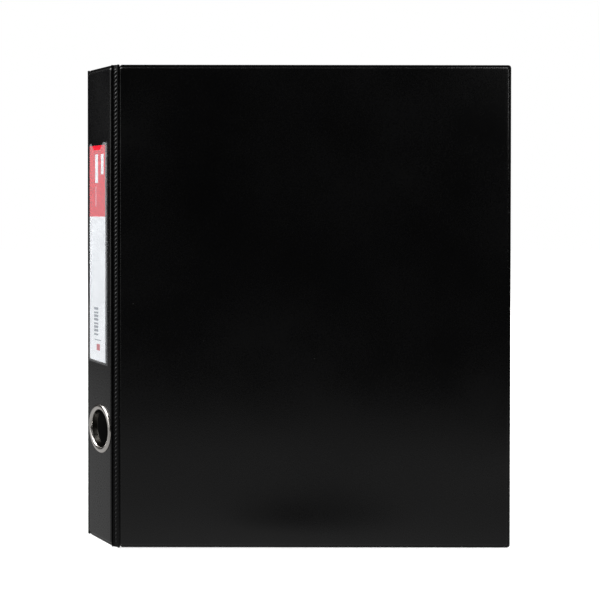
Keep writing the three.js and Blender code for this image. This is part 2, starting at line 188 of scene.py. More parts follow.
def metal(name, colour, rough, scratch=1.0, stretch=(1, 1, 1), patch=0.06):
    """Plated metal: fine drawn scratches, patchy gloss, a trace of tarnish."""
    m, nt, out = new_mat(name)
    p = N(nt, "ShaderNodeBsdfPrincipled", Metallic=1.0)
    v = coords(nt)
    vs = coords(nt, stretch)
    broad = N(nt, "ShaderNodeTexNoise", Scale=60.0, Detail=4.0, Roughness=0.6)
    nt.links.new(v, broad.inputs["Vector"])
    fine = N(nt, "ShaderNodeTexNoise", Scale=2600.0, Detail=2.0, Roughness=0.7)
    nt.links.new(vs, fine.inputs["Vector"])
    tone = ramp(nt, broad.outputs["Fac"], [(0.3, tuple(0.86 * c for c in colour)), (0.68, colour)])
    nt.links.new(tone, p.inputs["Base Color"])
    rr = ramp(nt, broad.outputs["Fac"], [(0.3, rough + patch), (0.7, rough)])
    rf = ramp(nt, fine.outputs["Fac"], [(0.35, 0.0), (0.7, 0.08)])
    nt.links.new(mix(nt, 1.0, rr, rf, "ADD"), p.inputs["Roughness"])
    b = N(nt, "ShaderNodeBump", Strength=0.06 * scratch, Distance=0.00005)
    nt.links.new(fine.outputs["Fac"], b.inputs["Height"])
    nt.links.new(b.outputs["Normal"], p.inputs["Normal"])
    nt.links.new(p.outputs["BSDF"], out.inputs["Surface"])
    return m


def card(name, colour, rough=0.6):
    """Printed card: paper fibre and slight mottling under the ink."""
    m, nt, out = new_mat(name)
    p = N(nt, "ShaderNodeBsdfPrincipled")
    p.inputs["Specular IOR Level"].default_value = 0.12
    v = coords(nt)
    fib = N(nt, "ShaderNodeTexNoise", Scale=1500.0, Detail=4.0, Roughness=0.7)
    nt.links.new(v, fib.inputs["Vector"])
    mot = N(nt, "ShaderNodeTexNoise", Scale=120.0, Detail=2.0)
    nt.links.new(v, mot.inputs["Vector"])
    t = ramp(nt, mot.outputs["Fac"], [(0.3, tuple(0.94 * c for c in colour)), (0.7, colour)])
    t = mix(nt, 0.08, t, fib.outputs["Fac"], "MULTIPLY")
    nt.links.new(t, p.inputs["Base Color"])
    nt.links.new(ramp(nt, fib.outputs["Fac"], [(0.2, rough - 0.08), (0.8, rough + 0.08)]), p.inputs["Roughness"])
    b = N(nt, "ShaderNodeBump", Strength=0.05, Distance=0.00004)
    nt.links.new(fib.outputs["Fac"], b.inputs["Height"])
    nt.links.new(b.outputs["Normal"], p.inputs["Normal"])
    nt.links.new(p.outputs["BSDF"], out.inputs["Surface"])
    return m


def greyboard(name):
    m, nt, out = new_mat(name)
    p = N(nt, "ShaderNodeBsdfPrincipled", Roughness=0.95)
    v = coords(nt)
    fib = N(nt, "ShaderNodeTexNoise", Scale=700.0, Detail=6.0, Roughness=0.75)
    nt.links.new(v, fib.inputs["Vector"])
    nt.links.new(ramp(nt, fib.outputs["Fac"], [(0.3, (0.16, 0.15, 0.13)), (0.7, (0.33, 0.31, 0.28))]), p.inputs["Base Color"])
    b = N(nt, "ShaderNodeBump", Strength=0.4, Distance=0.0001)
    nt.links.new(fib.outputs["Fac"], b.inputs["Height"])
    nt.links.new(b.outputs["Normal"], p.inputs["Normal"])
    nt.links.new(p.outputs["BSDF"], out.inputs["Surface"])
    return m


def clear_film(name, haze=0.16, clear=0.84, haze_colour=(0.9, 0.93, 0.96)):
    """Thin clear vinyl: mostly see-through, milky by its own plasticiser, glossy."""
    m, nt, out = new_mat(name)
    v = coords(nt)
    n = N(nt, "ShaderNodeTexNoise", Scale=45.0, Detail=3.0, Roughness=0.5)
    nt.links.new(v, n.inputs["Vector"])
    tr = N(nt, "ShaderNodeBsdfTransparent")
    tr.inputs["Color"].default_value = (0.97, 0.975, 0.98, 1)
    df = N(nt, "ShaderNodeBsdfDiffuse")
    df.inputs["Color"].default_value = (*haze_colour, 1)
    hz = nt.nodes.new("ShaderNodeMixShader")
    f = ramp(nt, n.outputs["Fac"], [(0.25, haze * 0.85), (0.75, haze * 1.15)])
    nt.links.new(f, hz.inputs["Fac"])
    nt.links.new(tr.outputs[0], hz.inputs[1])
    nt.links.new(df.outputs[0], hz.inputs[2])
    gl = N(nt, "ShaderNodeBsdfGlossy", Roughness=0.16)
    gl.inputs["Color"].default_value = (1, 1, 1, 1)
    fr = N(nt, "ShaderNodeFresnel", IOR=1.45)
    geo = N(nt, "ShaderNodeNewGeometry")
    front = N(nt, "ShaderNodeMath")
    front.operation = "SUBTRACT"
    front.inputs[0].default_value = 1.0
    nt.links.new(geo.outputs["Backfacing"], front.inputs[1])
    frf = N(nt, "ShaderNodeMath")
    frf.operation = "MULTIPLY"
    nt.links.new(fr.outputs[0], frf.inputs[0])
    nt.links.new(front.outputs[0], frf.inputs[1])
    b = N(nt, "ShaderNodeBump", Strength=0.25, Distance=0.0004)
    nt.links.new(n.outputs["Fac"], b.inputs["Height"])
    nt.links.new(b.outputs["Normal"], gl.inputs["Normal"])
    ms = nt.nodes.new("ShaderNodeMixShader")
    nt.links.new(frf.outputs[0], ms.inputs["Fac"])
    nt.links.new(hz.outputs[0], ms.inputs[1])
    nt.links.new(gl.outputs[0], ms.inputs[2])
    nt.links.new(ms.outputs[0], out.inputs["Surface"])
    return m


VINYL = vinyl("black_vinyl", (0.0012, 0.0012, 0.0014), 0.22)
STRIP = vinyl("black_vinyl_strip", (0.0012, 0.0012, 0.0014), 0.28, grain=0.7, specks=False, spec=0.26)
LINER = vinyl("liner_vinyl", (0.0045, 0.0045, 0.005), 0.38, grain=1.3)
BOARD = greyboard("greyboard")
NICKEL = metal("nickel_plate", (0.78, 0.745, 0.71), 0.13, stretch=(1, 1, 0.15))
# painted shade: the plating inside the finger ring's bore is darkened to near black to stand for the shade in the
# hollow
BORE_PAINTED_SHADE = metal("nickel_plate_bore_painted_shade", (0.05, 0.047, 0.042), 0.22, stretch=(1, 1, 0.15))
RINGM = metal("nickel_plate_wire", (0.80, 0.78, 0.75), 0.10, stretch=(1, 1, 1))
STEEL = metal("plated_steel", (0.60, 0.60, 0.61), 0.30, scratch=2.0, stretch=(1, 1, 0.05), patch=0.1)
FILM = clear_film("clear_vinyl", haze=0.10)
WELD = clear_film("clear_vinyl_weld", haze=0.02)
INK_RED = card("label_red", (0.78, 0.010, 0.030))
INK_WHITE = card("label_white", (0.93, 0.93, 0.94))
INK_PALE = card("label_pale_line", (0.62, 0.65, 0.68))
INK_GREY = card("label_grey", (0.30, 0.32, 0.35))
INK_MARK = card("label_red_mark", (0.55, 0.07, 0.09))


# ---------------------------------------------------------------- mesh helpers
def make(name, verts, faces, fr, mats, idx=None, smooth=True, sharp=None):
    """A mesh object from local millimetres. Coinciding points are merged, and faces that collapse are dropped."""
    me = bpy.data.meshes.new(name)
    seen, remap, kept = {}, [], []
    for v in verts:
        key = (round(v[0], 4), round(v[1], 4), round(v[2], 4))
        if key not in seen:
            seen[key] = len(kept)
            kept.append(v)
        remap.append(seen[key])
    fs, mi = [], []
    for i, f in enumerate(faces):
        g = []
        for a in f:
            b = remap[a]
            if not g or g[-1] != b:
                g.append(b)
        if len(g) > 1 and g[0] == g[-1]:
            g.pop()
        if len(g) >= 3 and len(set(g)) == len(g):
            fs.append(g)
            mi.append(idx[i] if idx else 0)
    me.from_pydata([Vector(v) for v in kept], [], fs)
    me.transform(MM @ fr)
    for m in mats:
        me.materials.append(m)
    me.polygons.foreach_set("material_index", mi)
    me.polygons.foreach_set("use_smooth", [smooth] * len(me.polygons))
    bm = bmesh.new()
    bm.from_mesh(me)
    bmesh.ops.recalc_face_normals(bm, faces=bm.faces)
    if sharp:
        for e in bm.edges:
            if len(e.link_faces) == 2 and e.calc_face_angle(0) > math.radians(sharp):
                e.smooth = False
    bm.to_mesh(me)
    bm.free()
    me.validate()
    me.update()
    o = bpy.data.objects.new(name, me)
    bpy.context.scene.collection.objects.link(o)
    return o


def apply_modifiers(o, sharp=None):
    dg = bpy.context.evaluated_depsgraph_get()
    me = bpy.data.meshes.new_from_object(o.evaluated_get(dg), depsgraph=dg)
    o.modifiers.clear()
    o.data = me
    if sharp:
        bm = bmesh.new()
        bm.from_mesh(me)
        for f in bm.faces:
            f.smooth = True
        for e in bm.edges:
            e.smooth = not (len(e.link_faces) == 2 and e.calc_face_angle(0) > math.radians(sharp))
        bm.to_mesh(me)
        bm.free()
    return o


def rrect(x0, x1, z0, z1, r, nx, nz, nc):
    """Points round a rounded rectangle, always 2*(nx+nz)+4*nc of them, from the lower left, counter-clockwise."""
    pts = []
    for i in range(nx):
        pts.append((x0 + r + (x1 - x0 - 2 * r) * i / nx, z0))
    for i in range(nc):
        a = -math.pi / 2 + math.pi / 2 * i / nc
        pts.append((x1 - r + r * math.cos(a), z0 + r + r * math.sin(a)))
    for i in range(nz):
        pts.append((x1, z0 + r + (z1 - z0 - 2 * r) * i / nz))
    for i in range(nc):
        a = math.pi / 2 * i / nc
        pts.append((x1 - r + r * math.cos(a), z1 - r + r * math.sin(a)))
    for i in range(nx):
        pts.append((x1 - r - (x1 - x0 - 2 * r) * i / nx, z1))
    for i in range(nc):
        a = math.pi / 2 + math.pi / 2 * i / nc
        pts.append((x0 + r + r * math.cos(a), z1 - r + r * math.sin(a)))
    for i in range(nz):
        pts.append((x0, z1 - r - (z1 - z0 - 2 * r) * i / nz))
    for i in range(nc):
        a = math.pi + math.pi / 2 * i / nc
        pts.append((x0 + r + r * math.cos(a), z0 + r + r * math.sin(a)))
    return pts


def film_panel(name, fr, w, side, board, edge, mats, nx, nz, swap=False, wave=0.0, seed=0.0, hole=None, bulge=0.0):
    """One welded film tray round a board, a closed shell.
    board: (x0, x1, z0, z1) of the board; edge: (x0, x1) outer edge in x of the film; w: weld width in z.
    Local x across, z up, y the thickness; side -1 puts the film's outside on -y. swap: x and y change roles (spine)."""
    bx0, bx1, bz0, bz1 = board
    nc = 6
    g = FILM_GAP
    # (offset from the board's outline, negative outwards; |y|; corner radius)
    wall = -(FILM_T + g)
    R = 1.15  # shoulder radius
    prof = []
    for k in range(8):
        a = math.pi / 2 * k / 7
        prof.append((wall + R * (1 - math.cos(a)), FACE - R + R * math.sin(a)))
    base_y = 0.30
    outer = [
        ("edge", 0.0, 0.06), ("edge", 0.0, 0.22), ("edge", 0.06, 0.29), ("edge", 0.30, 0.31), ("edge", 0.55, 0.30),
        ("mix", 0.60, 0.27), ("mix", 0.85, 0.25), ("wall", wall - 0.14, 0.255), ("wall", wall - 0.04, 0.30),
    ]
    outer += [("wall", o, y) for o, y in prof if y > base_y + 0.03]
    outer += [("wall", 1.3, FACE), ("wall", 1.9, FACE), ("wall", 3.0, FACE), ("wall", 5.0, FACE)]
    inner = [
        ("edge", 0.0, 0.02), ("mix", 0.5, 0.02), ("wall", -g - 0.02, 0.02), ("wall", -g, 0.3), ("wall", -g, 0.85),
        ("wall", 0.12, FACE - FILM_T), ("wall", 1.3, FACE - FILM_T), ("wall", 5.0, FACE - FILM_T),
    ]

    def rect(kind, o):
        ex0, ex1, ez0, ez1 = edge[0], edge[1], bz0 - w, bz1 + w
        if kind == "edge":
            return (ex0 + min(o, 0.02 + o * 0.2) if edge[0] > bx0 - 1.0 else ex0 + o,
                    ex1 - min(o, 0.02 + o * 0.2) if edge[1] < bx1 + 1.0 else ex1 - o, ez0 + o, ez1 - o, 2.0 - 0.3 * o)
        if kind == "mix":
            a = rect("edge", 0.5)
            b = rect("wall", wall - 0.14)
            return tuple(p + (q - p) * o for p, q in zip(a, b))
        r = max(0.0, 1.4 - max(0.0, o - wall) * 0.26) if o < 4.9 else 0.0
        return (bx0 + o, bx1 - o, bz0 + o, bz1 - o, r)

    def wob(x, z):
        if not wave:
            return 0.0
        s = noise.noise(Vector((x * 0.011, z * 0.009, seed))) + 0.45 * noise.noise(Vector((x * 0.03, z * 0.026, seed + 9)))
        d = min(x - bx0, bx1 - x, z - bz0, bz1 - z)
        return wave * s * min(1.0, max(0.0, d / 14.0))

    def swell(x, z):
        if not bulge:
            return 0.0
        d = max(0.0, min(x - bx0, bx1 - x, z - bz0, bz1 - z))
        return bulge * (1 - math.exp(-d / 7.0))

    verts, faces, idx = [], [], []
    count = 2 * (nx + nz) + 4 * nc

    def put(x, y, z, out):
        yy = side * (y + (wob(x, z) + swell(x, z) if y > FACE - FILM_T - 0.01 else 0.0))
        verts.append((yy, x, z) if swap else (x, yy, z))

    def ring(kind, o, y, out):
        x0, x1, z0, z1, r = rect(kind, o)
        start = len(verts)
        for x, z in rrect(x0, x1, z0, z1, r, nx, nz, nc):
            put(x, y, z, out)
        return start

    starts = [ring(k, o, y, True) for k, o, y in reversed(outer)] + [ring(k, o, y, False) for k, o, y in inner]
    for a, b in zip(starts, starts[1:]):
        for i in range(count):
            j = (i + 1) % count
            faces.append((a + i, a + j, b + j, b + i))
    # the flat middles
    for s, y in ((starts[0], FACE), (starts[-1], FACE - FILM_T)):
        x0, x1, z0, z1, r = rect("wall", 5.0)
        gstart = len(verts)
        for jz in range(nz + 1):
            for ix in range(nx + 1):
                put(x0 + (x1 - x0) * ix / nx, y, z0 + (z1 - z0) * jz / nz, True)
        for jz in range(nz):
            for ix in range(nx):
                a = gstart + jz * (nx + 1) + ix
                faces.append((a, a + 1, a + nx + 2, a + nx + 1))
    o = make(name, verts, faces, fr, mats, smooth=True, sharp=50)
    if hole:
        cut_cylinder(o, hole)
    return o


def cut_cylinder(o, hole):
    """hole = (centre, axis, radius, length) in the row frame, metres."""
    c, ax, r, ln = hole
    bm = bmesh.new()
    bmesh.ops.create_cone(bm, cap_ends=True, segments=96, radius1=r, radius2=r, depth=ln)
    me = bpy.data.meshes.new("cutter")
    bm.to_mesh(me)
    bm.free()
    k = bpy.data.objects.new("cutter", me)
    bpy.context.scene.collection.objects.link(k)
    k.matrix_world = Matrix.Translation(c) @ Vector((0, 0, 1)).rotation_difference(ax).to_matrix().to_4x4()
    bpy.context.view_layer.update()
    md = o.modifiers.new("hole", "BOOLEAN")
    md.operation = "DIFFERENCE"
    md.solver = "EXACT"
    md.object = k
    bpy.context.view_layer.update()
    apply_modifiers(o, sharp=50)
    bpy.data.objects.remove(k)
    bpy.data.meshes.remove(me)


def lathe(name, prof, fr, mats, seg=96, sharp=40, second=()):
    """prof: (radius, height) points, closed by itself or between two points on the axis; the axis is local z.
    second: the profile's segments that take the second material."""
    verts, faces, idx = [], [], []
    n = len(prof)
    for k in range(seg):
        a = 2 * math.pi * k / seg
        for r, h in prof:
            verts.append((r * math.cos(a), r * math.sin(a), h))
    closed = prof[0][0] > 1e-6
    for k in range(seg):
        k2 = (k + 1) % seg
        for i in range(n if closed else n - 1):
            j = (i + 1) % n
            faces.append((k * n + i, k2 * n + i, k2 * n + j, k * n + j))
            idx.append(1 if i in second else 0)
    return make(name, verts, faces, fr, mats, idx=idx, sharp=sharp)


def arc(cx, cy, r, a0, a1, n):
    return [(cx + r * math.cos(math.radians(a0 + (a1 - a0) * i / n)), cy + r * math.sin(math.radians(a0 + (a1 - a0) * i / n))) for i in range(n + 1)]


def prism(name, outline, z0, z1, fr, mats, bevel=0.0, seg=2, sharp=35, axis="z"):
    """A closed outline in local (x, y), extruded along local z, then bevelled."""
    n = len(outline)
    verts = [(x, y, z0) for x, y in outline] + [(x, y, z1) for x, y in outline]
    faces = [tuple(range(n)), tuple(range(2 * n - 1, n - 1, -1))]
    faces += [(i, (i + 1) % n, n + (i + 1) % n, n + i) for i in range(n)]
    o = make(name, verts, faces, fr, mats, sharp=sharp)
    if bevel:
        md = o.modifiers.new("bevel", "BEVEL")
        md.width = bevel / 1000
        md.segments = seg
        md.limit_method = "ANGLE"
        md.angle_limit = math.radians(30)
        bpy.context.view_layer.update()
        apply_modifiers(o, sharp=sharp)
    return o


def tube(name, pts, r, fr, mats, seg=20, cap=0.25, sharp=60):
    """A round wire along a smooth line, with slightly domed ends."""
    P = [Vector(p) for p in pts]
    tang = []
    for i in range(len(P)):
        a = P[max(0, i - 1)]
        b = P[min(len(P) - 1, i + 1)]
        tang.append((b - a).normalized())
    up = Vector((0, 0, 1))
    verts, faces = [], []
    rings = []
    stations = [(0, r * 0.0, -cap), (0, r * 0.55, -cap * 0.85), (0, r * 0.85, -cap * 0.5), (0, r * 0.97, -cap * 0.15)]
    stations += [(i, r, 0.0) for i in range(len(P))]
    e = len(P) - 1
    stations += [(e, r * 0.97, cap * 0.15), (e, r * 0.85, cap * 0.5), (e, r * 0.55, cap * 0.85), (e, 0.0, cap)]
    for i, rad, off in stations:
        t = tang[i]
        side = t.cross(up).normalized()
        c = P[i] + t * off
        start = len(verts)
        for k in range(seg):
            a = 2 * math.pi * k / seg
            q = c + side * (rad * math.cos(a)) + up * (rad * math.sin(a))
            verts.append((q.x, q.y, q.z))
        rings.append(start)
    for a, b in zip(rings, rings[1:]):
        for k in range(seg):
            j = (k + 1) % seg
            faces.append((a + k, a + j, b + j, b + k))
    return make(name, verts, faces, fr, mats, sharp=sharp)


def spline(pts, n):
    """Centripetal Catmull-Rom through 3-D points."""
    P = [Vector(p) for p in pts]
    P = [P[0] * 2 - P[1]] + P + [P[-1] * 2 - P[-2]]
    out = []
    for i in range(1, len(P) - 2):
        p0, p1, p2, p3 = P[i - 1 : i + 3]
        t0 = 0.0
        t1 = t0 + max(1e-6, (p1 - p0).length) ** 0.5
        t2 = t1 + max(1e-6, (p2 - p1).length) ** 0.5
        t3 = t2 + max(1e-6, (p3 - p2).length) ** 0.5
        for k in range(n):
            t = t1 + (t2 - t1) * k / n
            a1 = p0 * ((t1 - t) / (t1 - t0)) + p1 * ((t - t0) / (t1 - t0))
            a2 = p1 * ((t2 - t) / (t2 - t1)) + p2 * ((t - t1) / (t2 - t1))
            a3 = p2 * ((t3 - t) / (t3 - t2)) + p3 * ((t - t2) / (t3 - t2))
            b1 = a1 * ((t2 - t) / (t2 - t0)) + a2 * ((t - t0) / (t2 - t0))
            b2 = a2 * ((t3 - t) / (t3 - t1)) + a3 * ((t - t1) / (t3 - t1))
            out.append(b1 * ((t2 - t) / (t2 - t1)) + b2 * ((t - t1) / (t2 - t1)))
    out.append(P[-2])
    return out


# ---------------------------------------------------------------- covers
B0, B1 = HINGE_EDGE, COVER_W - WELD_W
BZ0, BZ1 = WELD_W, HEIGHT - WELD_W
cover_board = (B0, B1, BZ0, BZ1)
cover_edge = (B0 - FILM_T - FILM_GAP - 0.2, COVER_W)
QX, QZ = (60, 74)
rivet_z = [MID - 80, MID + 80]

p = film_panel("front_cover_outer_skin", F_FCOVER, WELD_W, -1, cover_board, cover_edge, [VINYL], QX, QZ, wave=0.10, seed=1.3, bulge=0.08)
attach(p, "front_cover"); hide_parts("front_cover_outer_film")
p = film_panel("front_cover_liner_skin", F_FCOVER, WELD_W, 1, cover_board, cover_edge, [LINER], QX, QZ, wave=0.12, seed=4.1, bulge=0.06)
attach(p, "front_cover"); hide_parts("front_cover_liner_film")
p = film_panel("back_cover_outer_skin", F_BCOVER, WELD_W, 1, cover_board, cover_edge, [VINYL], QX, QZ, wave=0.10, seed=7.7, bulge=0.08)
for z in rivet_z:
    cut_cylinder(p, ((MM @ F_BCOVER) @ Vector((RIVET_X, 0, z)), Vector((0, 1, 0)), 0.0023, 0.02))
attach(p, "back_cover"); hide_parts("back_cover_outer_film")
p = film_panel("back_cover_liner_skin", F_BCOVER, WELD_W, -1, cover_board, cover_edge, [LINER], QX, QZ, wave=0.12, seed=2.9, bulge=0.0)
for z in rivet_z:
    cut_cylinder(p, ((MM @ F_BCOVER) @ Vector((RIVET_X, 0, z)), Vector((0, 1, 0)), 0.0023, 0.02))
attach(p, "back_cover"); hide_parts("back_cover_liner_film")

# ---------------------------------------------------------------- spine
S0, S1 = D45 + HINGE_EDGE, DEPTH - D45 - HINGE_EDGE
spine_board = (S0, S1, BZ0, BZ1)
spine_edge = (S0 - FILM_T - FILM_GAP - 0.2, S1 + FILM_T + FILM_GAP + 0.2)
hole_c = (MM @ F_SPINE) @ Vector((0, DEPTH / 2 - RING_SIDE, RING_Z))
hole_ax = (F_SPINE.to_3x3() @ Vector((1, 0, 0))).normalized()
hole = (hole_c, hole_ax, 0.0135, 0.02)
p = film_panel("spine_outer_skin", F_SPINE, WELD_W, -1, spine_board, spine_edge, [VINYL], 16, 120, swap=True, wave=0.07, seed=5.5, hole=hole, bulge=0.10)
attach(p, "spine"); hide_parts("spine_outer_film")
p = film_panel("spine_liner_skin", F_SPINE, WELD_W, 1, spine_board, spine_edge, [LINER], 16, 120, swap=True, wave=0.07, seed=8.5, hole=hole)
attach(p, "spine"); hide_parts("spine_liner_film")

# ---------------------------------------------------------------- hinge strips
PITCH = 2.74
RELIEF_END = 2.6


def smooth(t):
    t = min(1.0, max(0.0, t))
    return t * t * (3 - 2 * t)


def relief(s, z, out):
    """Height of the embossing over the welded strip: a rope of slanted ribs with deep pits between them on the spine's
    side, and a row of small stitches by the cover, half a pitch off."""
    fade = smooth((min(z, HEIGHT - z) - RELIEF_END) / 0.9)
    h = 0.0
    if 0.60 < s < 3.30:
        u = (s - 1.95) / 1.35
        ph = 2 * math.pi * ((z - 0.62 * (s - 2.05)) / PITCH)
        rib = (0.5 + 0.5 * math.cos(ph)) ** 1.1
        body = (1 - u * u) ** 0.8
        pit = math.exp(-((s - 1.0) / 0.42) ** 2)
        h += (body * (0.04 + 0.50 * rib) - 0.16 * pit * (1 - rib)) * fade
    u = (s - 3.85) / 0.42
    if abs(u) < 1:
        ph = 2 * math.pi * (z / PITCH + 0.5)
        h += (1 - u * u) * 0.16 * (0.5 + 0.5 * math.cos(ph)) * fade
    return h if out else 0.0


def strip_line(s, bend):
    """Centre line of the strip: bent over +-0.8 mm about the creases at s = 0 and s = STRIP_W. Returns (x, y, heading)."""
    def heading(q):
        if q < STRIP_W / 2:
            return bend * (1 - smooth((q + 0.8) / 1.6))
        return -bend * (1 - smooth((STRIP_W - q + 0.8) / 1.6))
    n = 24
    x = y = 0.0
    ds = (s - STRIP_W / 2) / n
    for i in range(n):
        ang = heading(STRIP_W / 2 + ds * (i + 0.5))
        x += ds * math.cos(ang)
        y += ds * math.sin(ang)
    return x, y, heading(s)


def strip_piece(name, strip_fr, s0, s1, mirror, mats):
    """strip_fr: frame whose +x runs from the spine's crease to the cover's, and -y (front) or +y (back) is outside."""
    bend = math.radians(45 if mirror else 45 - OPEN / 2)
    ns = max(2, int(round((s1 - s0) / 0.15)))
    nz = int(round(HEIGHT / (PITCH / 12)))
    cols = []
    for i in range(ns + 1):
        q = s0 + (s1 - s0) * i / ns
        cols.append((q, *strip_line(q, bend)))
    sgn = 1 if mirror else -1  # direction of the outside along y
    verts, faces = [], []
    m = STRIP_W / 2
    tz = [HEIGHT * k / nz for k in range(nz + 1)]
    nsc = len(cols)

    def pt(col, z, layer):
        s, x, yy, ang = col
        # bend: the panels turn towards the inside, which is the opposite side from sgn
        a = ang * (-sgn)
        bx, by = m + x, (-sgn) * yy * 1.0
        # inward normal offset: outside surface at FILM_T + relief
        # the film climbs onto the panels' shoulders past each crease
        climb = 1.0 * smooth((s - STRIP_W + 1.1) / 2.0) + 1.0 * smooth((0.45 - s) / 1.4)
        d = (0.3 + relief(s, z, True) + climb) if layer else -0.27
        nx_, ny_ = -math.sin(a), math.cos(a)
        return (bx + nx_ * d * sgn, by + ny_ * d * sgn, z)

    for layer in (1, 0):
        for z in tz:
            for col in cols:
                verts.append(pt(col, z, layer))
    L = (nz + 1) * nsc
    for k in range(nz):
        for i in range(nsc - 1):
            a = k * nsc + i
            faces.append((a, a + 1, a + nsc + 1, a + nsc))
            b = L + a
            faces.append((b, b + nsc, b + nsc + 1, b + 1))
    for k in range(nz):
        for i in (0, nsc - 1):
            a = k * nsc + i
            faces.append((a, a + nsc, L + a + nsc, L + a))
    for k in (0, nz):
        for i in range(nsc - 1):
            a = k * nsc + i
            faces.append((a, a + 1, L + a + 1, L + a))
    return make(name, verts, faces, strip_fr, mats, sharp=55)


SPLIT = 1.2
EXT = 0.98
FR_FSTRIP = F_FHINGE @ Rz(-45)
FR_BSTRIP = F_BHINGE @ Rz(45)


def at(fr, x, y=0.0):
    v = (MM @ fr) @ Vector((x, y, MID))
    return tuple(v)


for fr, mirror, label, hinge, cover, node in (
    (FR_FSTRIP, False, "front", "front_hinge", "front_cover", "front_hinge_strip"),
    (FR_BSTRIP, True, "back", "back_hinge", "back_cover", "back_hinge_strip"),
):
    a = strip_piece(label + "_hinge_film_spine_side", fr, -EXT, SPLIT, mirror, [STRIP])
    b = strip_piece(label + "_hinge_film_cover_side", fr, SPLIT, STRIP_W + EXT, mirror, [STRIP])
    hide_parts(node)
    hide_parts(node)
    at(fr, -0.85)
    at(fr, 0.85)
    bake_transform(a)
    at(fr, STRIP_W - 0.85)
    at(fr, STRIP_W + 0.85)
    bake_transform(b)

# ---------------------------------------------------------------- finger ring
# local frame for lathes on the spine: z along the spine's outward normal
F_RING = F_SPINE @ T(0, DEPTH / 2 - RING_SIDE, RING_Z) @ Matrix.Rotation(math.radians(-90), 4, "Y")
o0 = FACE + 0.1
prof = [(12.5, -2.2)]
prof += arc(13.15, -2.2, 0.65, 180, 300, 6)[1:]          # clinched lip inside
prof += [(14.3, -2.55), (14.75, -2.35), (14.85, -2.15), (14.6, -2.02), (13.4, -1.95), (13.22, -1.7), (13.2, o0 - 0.2), (13.4, o0)]
prof += [(16.1, o0), (16.28, o0 + 0.12)]
prof += [(14.45 + 1.85 * math.cos(math.radians(t)), o0 + 0.12 + 0.95 * math.sin(math.radians(t))) for t in range(8, 173, 9)]   # rolled rim
prof += [(12.56, o0 - 0.15), (12.5, o0 - 0.6), (12.5, 0.0)]
n = len(prof)
# the bore and the clinched lip take the darkened plating, painted shade in the ring's hollow
p = lathe("finger_ring", prof, F_RING, [NICKEL, BORE_PAINTED_SHADE], seg=128, sharp=50, second={n - 3, n - 2, n - 1, 0, 1, 2, 3, 4, 5})
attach(p, "spine"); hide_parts("finger_ring_eyelet")
prof = [(13.5, -FACE - 0.12), (13.5, -FACE - 0.55), (13.9, -FACE - 0.62), (14.9, -FACE - 0.66), (15.7, -FACE - 0.58), (16.05, -FACE - 0.4), (16.1, -FACE - 0.22), (15.95, -FACE - 0.12)]
p = lathe("finger_ring_inner_washer", prof, F_RING, [STEEL], seg=128, sharp=50)
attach(p, "spine"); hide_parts("finger_ring_washer")

# ---------------------------------------------------------------- label and pocket (local: x thickness, y across, z up)
P0, P1 = D45 + 5.4, D45 + 33.3
PZ0, PZ1 = 118.9, 267.6
L0, L1 = D45 + 8.2, D45 + 31.8
LZ0, LZ1 = 120.5, 266.0
RED_Z = 218.2


